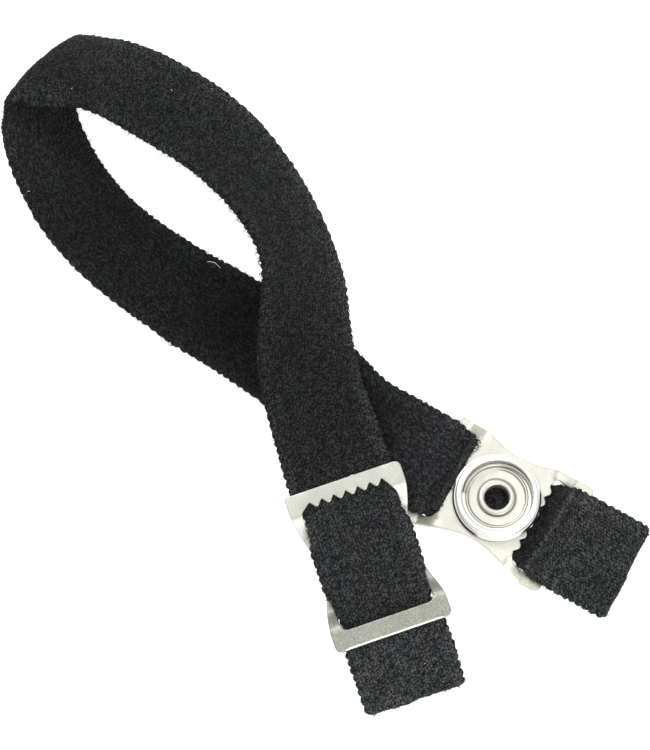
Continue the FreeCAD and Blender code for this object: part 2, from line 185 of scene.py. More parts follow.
def stitches(a, w, pitch_a, pitch_w, lean, loose, seed):
    """Rows of rounded stitches, from 0 in the gaps to 1 on top. Neighbouring wales lean opposite
    ways, as the legs of a knitted V do; loose shifts and resizes each stitch."""
    v = w / pitch_w + 60
    wale = np.floor(v).astype(int)
    across = v - wale - 0.5
    way = np.where(wale % 2 == 0, 1.0, -1.0)
    u = a / pitch_a + 80 + 0.5 * (wale % 2) + lean * way * across
    course = np.floor(u).astype(int)
    along = u - course - 0.5
    cell = course % TABLE_ROWS, wale % TABLE_COLUMNS
    shift_a, shift_w, size = (table_of(seed + k)[cell] for k in range(3))
    along, across = along - loose * 0.3 * shift_a, across - loose * 0.22 * shift_w
    width = 1 + loose * 0.4 * size
    return np.exp(-(along ** 2 * 9.0 + across ** 2 * 8.0) / width) * (1 + loose * 0.35 * size)


def band_rows():
    """Parameters of rows that lie GRID apart along the band, and the distance of each from the end."""
    fine = np.linspace(0, LAST, 20001)
    points = spline(fine)[:, :3]
    along = np.concatenate([[0], np.cumsum(np.linalg.norm(np.diff(points, axis=0), axis=1))])
    count = int(along[-1] / GRID) + 1
    at = np.linspace(0, along[-1], count)
    return np.interp(at, along, fine), at


ROW_S, ROW_A = band_rows()
BAND_LENGTH = ROW_A[-1]


def half_width(points):
    """Half width at each row: squeezed in the slots of both plates."""
    snap = np.linalg.norm(points - SNAP_PLACE, axis=1)
    away = np.linalg.norm(points - ADJUSTER_PLACE, axis=1)
    at_snap = 0.65 * (1 - smooth_step((snap - 9.0) / 2.5))
    at_snap += 0.8 * (1 - smooth_step((snap - 7.2) / 1.4))
    at_adjuster = 0.75 * (1 - smooth_step((away - 10.4) / 3.4)) * smooth_step((away - 3.2) / 3.6)
    return BAND_WIDTH / 2 - np.maximum(at_snap, at_adjuster)


def end_rounding(distance, radius):
    """Share of 1 near a cut end: 0 at the end, 1 from radius inwards, along a quarter circle."""
    near = np.clip(distance / radius, 0, 1)
    return np.sqrt(np.maximum(1 - (1 - near) ** 2, 0))


def selvedge(a, seed):
    """Outline of an edge: round lobes of uneven size with narrow notches between them."""
    phase = a / 1.42 + 0.45 * noise_grid(a, 0 * a, 4.1, 1, seed)
    lobe = np.abs(np.sin(np.pi * phase)) ** 0.8 - 0.62
    size = 0.28 + 0.12 * noise_grid(a, 0 * a, 1.6, 1, seed + 1)
    wander = 0.16 * noise_grid(a, 0 * a, 6.5, 1, seed + 2)
    wander += 0.06 * noise_grid(a, 0 * a, 0.5, 1, seed + 3)
    return lobe * size + wander


def knit_face(a, w):
    """The outer face: small, even stitches."""
    stitch = stitches(a, w, 0.50, 0.54, 0.5, 1.0, 101)
    patch = noise_grid(a, w, 1.1, 0.9, 14)
    return 0.11 * stitch + 0.03 * patch, stitch * (1 + 0.3 * patch)


def pile_face(a, w):
    """The brushed inner face: loose clumps of fibre with hollows between them."""
    bent_a = a + 0.35 * noise_grid(a, w, 1.3, 1.1, 15)
    bent_w = w + 0.35 * noise_grid(a, w, 1.2, 1.2, 16)
    clump = stitches(bent_a, bent_w, 0.92, 0.78, 0.8, 1.0, 201)
    fine = stitches(bent_w * 1.1, bent_a, 0.47, 0.5, 0.3, 1.0, 301)
    cover = 0.62 * clump + 0.38 * fine
    return 0.17 * cover + 0.05 * noise_grid(a, w, 2.3, 1.9, 11), cover


def selvedges(half, tail_end):
    """Distance from the middle line to the right and the left selvedge, at each row."""
    right = half + selvedge(ROW_A, 21) - 1.3 * bell(ROW_S - 19.6, 0.8)
    right = right - 0.45 * bell(ROW_S - 21.45, 0.22) + 0.4 * bell(ROW_S - 22.35, 0.4)
    left = half + selvedge(ROW_A, 41) - 0.35 * bell(ROW_S - 20.9, 0.3)
    cut = bell(tail_end, 0.9)
    return right - 0.1 * cut, left - 0.1 * cut


def section_lap():
    """One lap round the section, as w share, distance past the flat faces, and up.

    It runs along the face with the normal, round the right selvedge, back along the other face and
    round the left selvedge.
    """
    columns = int(round((BAND_WIDTH - BAND_THICKNESS) / GRID))
    across = np.linspace(-1, 1, columns + 1)
    angles = np.linspace(0, np.pi, EDGE_STEPS + 1)[1:-1]
    flat = np.concatenate([across, np.ones(len(angles)), across[::-1], -np.ones(len(angles))])
    out = np.concatenate([0 * across, np.sin(angles), 0 * across, -np.sin(angles)])
    up = np.concatenate([0 * across + 1, np.cos(angles), 0 * across - 1, -np.cos(angles)])
    return flat, out, up


def off_crease(a, w):
    """Distance along the band from the pressed crease."""
    return a - CREASE_AT + CREASE_LEAN * w


def build_band():
    """Vertex grid of the whole band, row by row, with its flat coordinates and yarn cover."""
    centre, tangent, ruling, normal = frames(ROW_S)
    lean = np.sum(ruling * tangent, axis=1)
    slant = np.sqrt(1 - lean ** 2)
    half = half_width(centre)
    tail_end = BAND_LENGTH - ROW_A
    for distance in (ROW_A, tail_end):
        half = half - CUT_CORNER * (1 - end_rounding(distance, CUT_CORNER))
    right, left = selvedges(half, tail_end)
    r = BAND_THICKNESS / 2
    thick = np.minimum(end_rounding(ROW_A, 0.9), end_rounding(tail_end, 0.9))
    thick = r * (0.3 + 0.7 * thick)

    flat, out, up = section_lap()
    side = np.where(flat[None, :] > 0, right[:, None], left[:, None])
    w = flat[None, :] * (side - r) + out[None, :] * r
    a = ROW_A[:, None] + w / slant[:, None] * lean[:, None]
    up = np.repeat(up[None, :], len(ROW_A), 0)

    # The pile face starts beyond the crease; the short end shows the knit on both faces.
    rough = np.where(up > 0, 1.0, 0.0) * smooth_step((ROW_A[:, None] - 12) / 6)
    knit_height, knit_cover = knit_face(a, w)
    pile_height, pile_cover = pile_face(a, w)
    face = (1 - rough) * knit_height + rough * pile_height
    cover = (1 - rough) * knit_cover + rough * pile_cover
    grain = np.random.default_rng(5).normal(0, 1, w.shape)
    fade = end_rounding(np.minimum(ROW_A, tail_end), 1.0)[:, None]
    lift = (face - 0.05 + 0.012 * grain) * (0.45 + 0.55 * np.abs(up)) * fade
    edge = 1 - np.abs(up)
    bow = noise_grid(a, w, 14, 9, 31) * 0.12
    crease = CREASE_HEIGHT * bell(off_crease(a, w), CREASE_SPREAD)
    height = up * thick[:, None] + np.sign(up) * lift + bow + crease * (up > 0)
    reach = (w + np.sign(w) * edge * lift) / slant[:, None]
    points = centre[:, None, :] + ruling[:, None, :] * reach[:, :, None]
    points = points + normal[:, None, :] * height[:, :, None]

    ragged = 0.16 * noise_grid(w, 0 * w, 1.3, 1, 51) + 0.1 * noise_grid(w, up, 0.42, 0.5, 52)
    ends = bell(tail_end, 1.0)[:, None] - bell(ROW_A, 1.0)[:, None]
    points = points + tangent[:, None, :] * (ends * ragged)[:, :, None]
    share = np.clip(w / (BAND_WIDTH / 2), -1.1, 1)
    arch = 0.1 * np.cos(np.pi / 2 * share) + 0.12 * np.sin(np.pi * np.maximum(share, 0))
    drawn = np.maximum(-share, 0) ** 2 - arch
    points = points + fold_pull(ROW_S)[:, None, :] * drawn[:, :, None]
    bulge = bell(ROW_S - FOLD_BULGE_AT, 0.95)
    points = points + np.array(FOLD_BULGE) * bulge[:, None, None]
    points[:, :, 2] = np.maximum(points[:, :, 2], 0.01 - MOUTH_HEIGHT)
    return points * MM, np.stack([a, w, up], axis=2), cover + GRAIN * grain


def yarn_lint_and_painted_light(rows, w):
    """Yarn colour factor: tone along the band, selvedge lint, and painted light and shade."""
    a, station = ROW_A[rows, None], ROW_S[rows, None]
    tail_end = BAND_LENGTH - a
    share = np.clip(w / (BAND_WIDTH / 2), -1, 1)
    on_crease = off_crease(a, w)
    # Paler on the short end, the plate run and the tail, and a little less on the adjuster run.
    level = 0.66 + 0.86 * (1 - smooth_step((a - 35) / 18))
    level = level + 0.46 * smooth_step((43 - tail_end) / 6)
    level = level + 0.4 * smooth_step((15 - tail_end) / 4)
    # Darker on the upper run above the adjuster. Painted shadow across the middle of the lower run,
    # where the upper run crosses over it.
    level = level * (1 - 0.26 * bell(station - 29.7, 1.2))
    level = level * (1 - 0.3 * bell(station - 13.7, 0.8) * (1 - share ** 2))
    # Paler on the crease, and darker towards the short end's cut. Between the crease and the snap
    # plate, painted shadow of the ring and the web.
    level = level * (1 + 0.8 * bell(on_crease, 0.4))
    level = level * (1 - 0.16 * (1 - smooth_step((a - 8) / 5)))
    level = level * (1 - 0.34 * smooth_step((on_crease - 0.3) / 0.8) * (1 - smooth_step((a - 22) / 5)))
    # Painted light on the upper run: lighter, most towards its outer selvedge, where its curved width
    # faces the light.
    upper = smooth_step((station - 20) / 2) * (1 - smooth_step((station - 29) / 2))
    level = level * (1 + upper * (0.14 + 0.5 * np.maximum(share, 0) + 0.06 * np.minimum(share, 0)))
    edges = 0.5 * smooth_step((share - 0.6) / 0.35) + 0.2 * smooth_step((-share - 0.65) / 0.3)
    # Painted light on the fold's lower part, lifting the shadow that the fold casts there.
    inside = 0.4 * smooth_step((station - 16.8) / 1.6) * (1 - smooth_step((station - 19.2) / 1.2))
    return level + edges + inside


BAND_POINTS, BAND_FLAT, BAND_COVER = build_band()


def row_of(s):
    """Index of the row nearest to parameter s."""
    return int(np.argmin(np.abs(ROW_S - s)))


def new_mesh(name, points, faces, smooth=True):
    """Object in the scene with a mesh of these points, in metres, and faces."""
    mesh = bpy.data.meshes.new(name)
    mesh.from_pydata(points, [], faces)
    mesh.polygons.foreach_set("use_smooth", [smooth] * len(mesh.polygons))
    mesh.update()
    obj = bpy.data.objects.new(name, mesh)
    bpy.context.scene.collection.objects.link(obj)
    return obj


def set_values(mesh, name, values):
    """Store one number for each vertex, as an attribute that a material reads."""
    layer = mesh.attributes.new(name, "FLOAT", "POINT")
    layer.data.foreach_set("value", np.asarray(values, dtype=np.float32).reshape(-1))


def band_piece(name, start, end):
    """One stretch of the fabric as a closed mesh, with its flat place and cover as attributes."""
    first, last = row_of(start), row_of(end)
    points = BAND_POINTS[first:last + 1]
    rows, lap = points.shape[:2]
    index = np.arange(rows * lap).reshape(rows, lap)
    turned = np.roll(index, -1, axis=1)
    quads = np.stack([index[:-1], index[1:], turned[1:], turned[:-1]], axis=2).reshape(-1, 4)
    faces = quads.tolist() + [index[0].tolist(), index[-1][::-1].tolist()]
    obj = new_mesh(name, points.reshape(-1, 3).tolist(), faces)
    mesh = obj.data
    for polygon in mesh.polygons[-2:]:
        polygon.use_smooth = False
    flat = BAND_FLAT[first:last + 1]
    place = mesh.attributes.new("flat_place", "FLOAT_VECTOR", "POINT")
    place.data.foreach_set("vector", flat.reshape(-1).astype(np.float32))
    set_values(mesh, "cover", BAND_COVER[first:last + 1])
    set_values(mesh, "lint_and_painted_light", yarn_lint_and_painted_light(np.arange(first, last + 1), flat[:, :, 1]))
    obj["length_mm"] = float(ROW_A[last] - ROW_A[first])
    return obj


# ---- materials ----------------------------------------------------------------------------------
class Nodes:
    """Short way to build a node material."""

    def __init__(self, name):
        self.material = bpy.data.materials.new(name)
        self.material.use_nodes = True
        self.tree = self.material.node_tree
        self.shader = self.tree.nodes["Principled BSDF"]

    def add(self, kind, settings=None, **inputs):
        """New node; an input's name has _ for each space."""
        node = self.tree.nodes.new(kind)
        for key, value in (settings or {}).items():
            setattr(node, key, value)
        for key, value in inputs.items():
            self.put(node.inputs[key.replace("_", " ")], value)
        return node

    def put(self, socket, value):
        """Link another node's output to a socket, or set a constant on it."""
        if isinstance(value, bpy.types.NodeSocket):
            self.tree.links.new(value, socket)
        else:
            socket.default_value = value

    def set(self, **inputs):
        """Fill inputs of the surface shader."""
        for key, value in inputs.items():
            self.put(self.shader.inputs[key.replace("_", " ")], value)

    def attribute(self, name):
        """A number that set_values stored on the mesh."""
        return self.add("ShaderNodeAttribute", {"attribute_name": name}).outputs["Fac"]

    def noise(self, vector, scale, detail=3.0, roughness=0.6):
        node = self.add("ShaderNodeTexNoise", Vector=vector, Scale=scale, Detail=detail,
                        Roughness=roughness)
        return node.outputs["Fac"]

    def math(self, operation, a, b):
        node = self.add("ShaderNodeMath", {"operation": operation})
        self.put(node.inputs[0], a)
        self.put(node.inputs[1], b)
        return node.outputs[0]

    def span(self, value, low, high, to_low=0.0, to_high=1.0):
        """The value from low to high spread over to_low to to_high, and clamped there."""
        node = self.add("ShaderNodeMapRange", Value=value)
        for key, number in zip(("From Min", "From Max", "To Min", "To Max"),
                               (low, high, to_low, to_high)):
            self.put(node.inputs[key], number)
        return node.outputs["Result"]

    def mix(self, share, a, b, blend="MIX"):
        node = self.add("ShaderNodeMix", {"data_type": "RGBA", "blend_type": blend})
        self.put(node.inputs[0], share)
        self.put(node.inputs[6], a)
        self.put(node.inputs[7], b)
        return node.outputs[2]

    def bump(self, height, distance, strength=1.0, normal=None):
        node = self.add("ShaderNodeBump", Height=height, Distance=distance, Strength=strength)
        if normal is not None:
            self.put(node.inputs["Normal"], normal)
        return node.outputs["Normal"]


def grey(value, red=1.0, green=1.0, blue=1.0):
    """A grey, tinted by the factor of each channel."""
    return (value * red, value * green, value * blue, 1.0)


def fabric(name, dark, light):
    """Knitted elastic: dark gaps and lighter yarn from the mesh, speckled fibre, faint tints."""
    n = Nodes(name)
    place = n.add("ShaderNodeAttribute", {"attribute_name": "flat_place"}).outputs["Vector"]
    speckle = n.noise(place, 5.2, 2.0, 0.8)
    yarn_share = n.math("ADD", n.math("MULTIPLY", n.attribute("cover"), 0.5),
                        n.math("MULTIPLY", n.span(speckle, 0.34, 0.66), 0.5))
    colour = n.mix(n.span(yarn_share, 0.25, 0.8), dark, light)
    spark = n.span(n.noise(place, 3.6, 1.0, 0.5), 0.66, 0.76)
    colour = n.mix(n.math("MULTIPLY", spark, 0.16), colour, grey(0.22, 1, 1, 1.02))
    # Multiplied by the mesh's tone, lint, and painted light and shade.
    colour = n.mix(1.0, colour, n.attribute("lint_and_painted_light"), "MULTIPLY")
    hue = n.span(n.noise(place, 0.19, 2.0, 0.55), 0.36, 0.64)
    tint = n.mix(hue, grey(1.0, 0.90, 0.93, 1.05), grey(1.0, 0.86, 1.0, 0.97))
    tinted = n.span(n.noise(place, 0.33, 2.0, 0.5), 0.4, 0.62, 0.25, 1.0)
    colour = n.mix(tinted, colour, tint, "MULTIPLY")
    mottled = n.span(n.noise(place, 0.07, 2.0, 0.5), 0.3, 0.7, 0.0, 0.3)
    colour = n.mix(mottled, colour, grey(0.6), "MULTIPLY")
    fibres = n.bump(n.noise(place, 5.0, 4.0, 0.7), 0.00010, 0.8)
    n.set(Base_Color=colour, Roughness=n.span(speckle, 0.3, 0.7, 0.8, 1.0), Normal=fibres)
    n.shader.inputs["Specular IOR Level"].default_value = 0.12
    n.shader.inputs["Sheen Weight"].default_value = 0.015
    n.shader.inputs["Sheen Roughness"].default_value = 0.4
    return n.material


def nickel(name, base, roughness, grain=1.0, speck=0.12, worn=None, dark_marked=False):
    """Plated sheet: satin nickel with fine grain, faint stains and small scratches.

    worn is the stretch along the plate, in millimetres, over which the finish turns duller and
    grainier, and it adds the mesh's attribute for the rolled end: a smoother finish with fewer
    specks, and a lighter colour there as a painted highlight. The last flag adds the mesh's
    attribute for darkening: painted shade on the flange, and dark rings on the dish and eyelet.
    """
    n = Nodes(name)
    place = n.add("ShaderNodeTexCoord").outputs["Object"]
    fine = n.noise(place, 4000.0, 2.0, 0.7)
    cloud = n.noise(place, 160.0, 3.0, 0.55)
    stretched = n.add("ShaderNodeMapping", Vector=place)
    stretched.inputs["Scale"].default_value = (900.0, 90.0, 400.0)
    stretched.inputs["Rotation"].default_value = (0.0, 0.0, 0.6)
    scratch = n.noise(stretched.outputs["Vector"], 1.6, 4.0, 0.7)
    duller = tuple(0.9 * c for c in base[:3]) + (1.0,)
    colour = n.mix(n.span(cloud, 0.35, 0.65), base, duller)
    rough = n.span(n.math("ADD", cloud, scratch), 0.7, 1.3, roughness - 0.05, roughness + 0.09)
    strength = speck
    if worn:
        wear = n.span(n.attribute("along"), *worn)
        colour = n.mix(wear, colour, n.mix(1.0, colour, grey(0.74, 1.0, 0.995, 0.98), "MULTIPLY"))
        # On the rolled end: a lighter colour, a painted highlight along the bright edge; and smoother,
        # with fewer specks, where it is rubbed.
        rub_and_highlight_share = n.span(n.attribute("rub_and_painted_highlight"), 0.4, 0.75)
        colour = n.mix(rub_and_highlight_share, colour, grey(0.86, 1, 1, 0.95))
        strength = n.math("MULTIPLY", n.math("ADD", speck, n.math("MULTIPLY", wear, 0.3)),
                          n.math("SUBTRACT", 1.0, rub_and_highlight_share))
        rough = n.math("SUBTRACT", rough, n.math("MULTIPLY", rub_and_highlight_share, 0.2))
    specks = n.math("MULTIPLY", n.span(fine, 0.36, 0.64), strength)
    colour = n.mix(specks, colour, grey(0.04, 1, 0.99, 0.95))
    if dark_marked:
        # Darker where the mesh marks it: painted shade on the flange, dark rings on the dish and
        # eyelet.
        dark_marks = n.span(n.attribute("dark_rings_and_painted_shade"), 0.15, 0.75)
        colour = n.mix(dark_marks, colour, grey(0.03, 1, 0.96, 0.88))
    bumps = n.bump(fine, 0.000018, 0.35 * grain)
    bumps = n.bump(scratch, 0.00002, 0.25 * grain, bumps)
    n.set(Base_Color=colour, Roughness=rough, Normal=bumps)
    n.shader.inputs["Metallic"].default_value = 1.0
    return n.material


def yarn(name, dark, light):
    """Single fibres: uneven dye along them, rough and barely glossy."""
    n = Nodes(name)
    place = n.add("ShaderNodeTexCoord").outputs["Object"]
    uneven = n.noise(place, 900.0, 3.0, 0.7)
    n.set(Base_Color=n.mix(n.span(uneven, 0.35, 0.65), dark, light),
          Roughness=n.span(uneven, 0.3, 0.7, 0.75, 0.95),
          Normal=n.bump(n.noise(place, 5000.0, 2.0), 0.00002, 0.5))
    n.shader.inputs["Specular IOR Level"].default_value = 0.15
    return n.material


knit_material = fabric("knit_black", grey(0.0028, 1, 1, 1.05), grey(0.0565, 1, 1.005, 0.98))
pile_material = fabric("pile_black", grey(0.0025, 1, 1, 1.05), grey(0.0375, 1, 0.985, 1.01))
fibre_material = yarn("fibre_black", grey(0.008, 1, 1, 1.03), grey(0.042, 1, 1, 1.03))
tuft_material = yarn("tuft_black", grey(0.014, 1, 1, 1.03), grey(0.12, 1, 1, 1.03))
lint_material = yarn("lint_and_painted_light_white", grey(0.45), grey(0.72))
plate_material = nickel("plate_nickel", (0.72, 0.72, 0.635, 1.0), 0.5, speck=0.17)
adjuster_material = nickel("adjuster_nickel", (0.58, 0.585, 0.52, 1.0), 0.48, worn=(4.0, 8.0))
socket_material = nickel("socket_nickel", (0.90, 0.895, 0.85, 1.0), 0.42, 0.5, 0.04, dark_marked=True)
dish_material = nickel("dish_nickel", (0.70, 0.69, 0.62, 1.0), 0.42, 0.7, 0.08, dark_marked=True)
wire_material = nickel("spring_steel", (0.50, 0.50, 0.46, 1.0), 0.32, 0.8, 0.1)


# ---- the fabric pieces --------------------------------------------------------------------------
# Each: start and end in stations, how it is held, what it lies on, its slot, and the CAD nodes that
# it stands for.
END_HINGE, LOOP_HINGE, TAIL_HINGE = 2.1, 20.5, LAST - 2.35
PIECES = {
    "strap_short_end": (0, 3.0, "laid", "snap_sheet", "band_pile", ["band_short_end"]),
    "strap_plate_run": (3.0, 9.6, "laid", "snap_sheet", "band_pile", ["band_plate_run"]),
    "strap_lower": (9.6, 15.8, "laid", "strap_plate_run", "band_pile", ["band_lower_run"]),
    "strap_fold": (15.8, 24.2, "folded", "strap_lower", "band_knit",
                   ["band_fold_lower", "band_fold_upper"]),
    "strap_upper": (24.2, 31.0, "stretched", "strap_fold", "band_knit", ["band_upper_run"]),
    "strap_adjuster_run": (31.0, 37.7, "stretched", "adjuster_sheet", "band_knit",
                           ["band_adjuster_run"]),
    "strap_tail": (37.7, LAST, "laid", "adjuster_sheet", "band_knit", ["band_tail"])}


def blend_ends(s, before, after, direction):
    """Start and end of a blend on a line through the hinge at s."""
    centre = frames(np.array([s]))[0][0]
    return tuple((centre - before * direction) * MM), tuple((centre + after * direction) * MM)


def follow(obj, strap_name):
    """Attach a piece to its strap's body, or at a hinge bake its transform; blend ends go unused."""
    if strap_name in ("strap_plate_run", "strap_lower"):
        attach(obj, "lower_band")
    elif strap_name in ("strap_upper", "strap_adjuster_run"):
        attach(obj, "upper_band")
    elif strap_name == "strap_short_end":
        start, end = blend_ends(END_HINGE, 3.8, 3.8, np.array([1.0, 0.0, 0.0]))
        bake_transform(obj)
    elif strap_name == "strap_fold":
        start, end = blend_ends(LOOP_HINGE, 8.0, 4.0, unit(np.array([0.0, 0.375, 0.927])))
        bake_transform(obj)
    else:
        start, end = blend_ends(TAIL_HINGE, 3.6, 3.6, adjuster_axis())
        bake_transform(obj)


# Pile on the face with the normal, knit on the rest of each lap and on the two closed ends.
lap_slots = (BAND_FLAT[0, :, 2] <= 0.01).astype(np.int32)
for name, (start, end, held, rests, slot_name, nodes) in PIECES.items():
    strap = band_piece(name, start, end)
    strap.data.materials.append(pile_material)
    strap.data.materials.append(knit_material)
    laps = (len(strap.data.polygons) - 2) // len(lap_slots)
    face_slots = np.concatenate([np.tile(lap_slots, laps), [1, 1]]).astype(np.int32)
    if name == "strap_short_end":
        face_slots[:] = 1
    strap.data.polygons.foreach_set("material_index", face_slots)
    follow(strap, name)
    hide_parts(*nodes)


# ---- loose fibres, yarn loops and lint ----------------------------------------------------------
EDGE_FIBRES, FACE_FIBRES = 26, 9        # on a millimetre of band: both selvedges, both faces
END_FIBRES = 260                        # more of them on each cut end
LOOP_RADIUS, THREAD_RADIUS, SPECK_RADIUS = 0.075, 0.075, 0.06
WEB_END = 7.4               # edge of both plates' webs, from the middle


def tube_mesh(name, lines, radii, sides=4):
    """Thin closed tubes along lines of points: an array of (count, steps, 3) and a radius for each."""
    count, steps = lines.shape[:2]
    along = unit(np.gradient(lines, axis=1))
    helper = np.where(np.abs(along[..., 2:]) < 0.9, [0.0, 0.0, 1.0], [1.0, 0.0, 0.0])
    first = unit(np.cross(along, helper))
    second = np.cross(along, first)
    turns = np.linspace(0, 2 * np.pi, sides, endpoint=False)[:, None]
    taper = np.linspace(1.0, 0.45, steps)[None, :, None, None] * radii[:, None, None, None]
    rings = lines[:, :, None, :] + taper * (first[:, :, None, :] * np.cos(turns)
                                            + second[:, :, None, :] * np.sin(turns))
    index = np.arange(count * steps * sides).reshape(count, steps, sides)
    turned = np.roll(index, -1, axis=2)
    quads = np.stack([index[:, :-1], turned[:, :-1], turned[:, 1:], index[:, 1:]], axis=3)
    faces = quads.reshape(-1, 4).tolist() + index[:, 0, ::-1].tolist() + index[:, -1].tolist()
    return new_mesh(name, (rings.reshape(-1, 3) * MM).tolist(), faces)


def fuzz(name, start, end, seed):
    """Fibres that stand out of the selvedges, the faces and the cut ends of one stretch."""
    rng = np.random.default_rng(seed)
    first, last = row_of(start), row_of(end)
    points = BAND_POINTS[first:last + 1] / MM
    up = BAND_FLAT[first:last + 1, :, 2]
    length = ROW_A[last] - ROW_A[first]
    on_edge = np.abs(up[0]) < 0.95
    edge_columns, face_columns = np.flatnonzero(on_edge), np.flatnonzero(~on_edge)
    rows = rng.integers(0, len(points), int(length * EDGE_FIBRES))
    columns = rng.choice(edge_columns, len(rows))
    rows = np.concatenate([rows, rng.integers(0, len(points), int(length * FACE_FIBRES))])
    columns = np.concatenate([columns, rng.choice(face_columns, len(rows) - len(columns))])
    # At a cut end more fibres grow from its row, and lean away from the band.
    away = np.zeros(len(points))
    for at_end, end_row, way in ((start == 0, 0, -1.6), (end == LAST, len(points) - 1, 1.6)):
        if at_end:
            rows = np.concatenate([rows, np.full(END_FIBRES, end_row)])
            columns = np.concatenate([columns, rng.integers(0, points.shape[1], END_FIBRES)])
            away[end_row] = way
    roots = points[rows, columns]
    outward = unit(roots - points.mean(axis=1)[rows])
    _, tangent, ruling, normal = (value[rows] for value in frames(ROW_S[first:last + 1]))
    facing = np.abs(up[rows, columns])[:, None]
    out = ruling * np.sign(np.sum(outward * ruling, axis=1))[:, None] * (1 - facing)
    out = out + normal * np.sign(up[rows, columns])[:, None] * facing
    out = unit(out + tangent * away[rows][:, None] + 0.45 * rng.normal(0, 1, out.shape))
    reach = rng.gamma(2.2, 0.14, len(rows))[:, None] * np.where(facing > 0.95, 0.6, 1.0)
    curl = unit(rng.normal(0, 1, out.shape)) * reach * 0.7
    steps = np.linspace(0, 1, 5)[None, :, None]
    lines = (roots - 0.06 * out)[:, None, :] + out[:, None, :] * reach[:, None, :] * steps
    lines = lines + curl[:, None, :] * steps ** 2
    lines[:, :, 2] = np.maximum(lines[:, :, 2], 0.05 - MOUTH_HEIGHT)
    return tube_mesh(name, lines, rng.uniform(0.02, 0.045, len(rows)))


def yarn_loops(name, places):
    """Loops of yarn pulled out of a selvedge: each a station, a side, a width and a reach."""
    lines = []
    for s, side, width, reach in places:
        row = row_of(s)
        column = int(np.argmax(BAND_FLAT[row, :, 1] * side))
        root = BAND_POINTS[row, column] / MM
        _, tangent, ruling, _ = (value[0] for value in frames(ROW_S[row:row + 1]))
        t = np.linspace(-1, 1, 17)[:, None]
        bow = ruling * side * (reach * np.sqrt(np.maximum(1 - t ** 2, 0)) - 0.15)
        lines.append(root + tangent * width / 2 * (t + 0.35 * t * (1 - t ** 2)) + bow)
    return tube_mesh(name, np.array(lines), np.full(len(lines), LOOP_RADIUS), 8)


def dress(obj, strap_name, material):
    """Give a loose piece its material, and the body of its strap, where that strap has one."""
    obj.data.materials.append(material)
    follow(obj, strap_name)


def threads(name, paths, radius=SPECK_RADIUS):
    """Threads of lint lying on a face: each a run of (station, w, up), lifted a little."""
    lines = []
    for path in paths:
        spots = []
        for s, w, up in path:
            row = row_of(s)
            flat = BAND_FLAT[row]
            column = int(np.argmin(np.abs(flat[:, 1] - w) + 9 * (flat[:, 2] * up < 0.9)))
            normal = frames(ROW_S[row:row + 1])[3][0]
            spots.append(BAND_POINTS[row, column] / MM + normal * up * 0.12)
        spots = np.array(spots)
        corners = np.arange(len(spots))
        fine = np.linspace(0, len(spots) - 1, 4 * len(spots))
        lines.append(np.stack([np.interp(fine, corners, spots[:, k]) for k in range(3)], axis=1))
    return tube_mesh(name, np.array(lines), np.full(len(lines), radius), 6)


def tuft(name, seed):
    """Pile that stands up from the lower run against the web's plain edge, and bulges over it."""
    rng = np.random.default_rng(seed)
    count = 900
    y = rng.uniform(-6.9, 7.3, count)
    depth = rng.uniform(0, 1, count)
    bulge = 0.4 + 0.5 * noise_grid(y, 0 * y, 2.1, 1, 61) + 0.3 * noise_grid(y, 0 * y, 0.7, 1, 62)
    root = np.stack([-WEB_END - 1.3 + 0.5 * depth, y, np.full(count, -3.85)], axis=1)
    tip = np.stack([-WEB_END - 0.75 + (0.75 + bulge) * depth, y + rng.normal(0, 0.3, count),
                    -2.35 + 0.2 * rng.normal(0, 1, count) - 0.25 * (1 - depth)], axis=1)
    steps = np.linspace(0, 1, 6)[None, :, None]
    lines = root[:, None, :] * (1 - steps) + tip[:, None, :] * steps
    lines[:, :, 2] += 0.3 * np.sin(np.pi * steps[:, :, 0])
    lines = lines + 0.1 * rng.normal(0, 1, (count, 1, 3)) * steps * (1 - steps) * 4
    return tube_mesh(name, lines, rng.uniform(0.05, 0.09, count))


# Pulled loops by the strap that they grow from: station, side, width and reach.
LOOPS = {
    "strap_upper": [(26.64, -1, 0.95, 1.0), (26.92, -1, 1.0, 0.95), (27.5, -1, 0.6, 0.55),
                    (27.98, -1, 0.95, 1.0), (28.25, -1, 0.8, 0.75), (25.6, -1, 0.6, 0.5)],
    "strap_fold": [(23.4, 1, 0.6, 0.5)],
    "strap_lower": [(14.3, -1, 0.7, 0.5)]}
# One curled thread, and specks of lint, each a short thread: station, w and up of its points.
THREAD = [(14.76, 6.85, 1), (14.71, 7.25, 1), (14.64, 7.4, 1), (14.56, 7.3, 1), (14.49, 7.1, 1)]
SPECKS = {
    "strap_lower": [[(11.4, -3.1, 1), (11.41, -3.15, 1)]],
    "strap_fold": [[(17.67, -7.8, 1), (17.69, -7.9, 1)], [(22.33, -6.0, -1), (22.35, -5.9, -1)],
                   [(24.05, 2.3, -1), (24.06, 2.2, -1)]],
    "strap_upper": [[(24.6, 6.9, -1), (24.62, 6.98, -1)]],
    "strap_tail": [[(39.43, 3.15, -1), (39.44, 3.05, -1)], [(40.5, 5.0, -1), (40.52, 4.95, -1)]]}

for strap_name, places in LOOPS.items():
    loops = yarn_loops(strap_name.replace("strap", "loops"), places)
    dress(loops, strap_name, fibre_material)
dress(threads("lint_and_painted_light_thread", [THREAD], THREAD_RADIUS), "strap_lower", lint_material)
for strap_name, paths in SPECKS.items():
    dress(threads(strap_name.replace("strap", "lint_and_painted_light"), paths), strap_name, lint_material)
web_tuft = tuft("pile_at_web", 71)
web_tuft.data.materials.append(tuft_material)
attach(web_tuft, "snap_plate_assembly")
for number, (strap_name, row) in enumerate(PIECES.items()):
    fibres = fuzz(strap_name.replace("strap", "fuzz"), row[0], row[1], 900 + number)
    dress(fibres, strap_name, fibre_material)


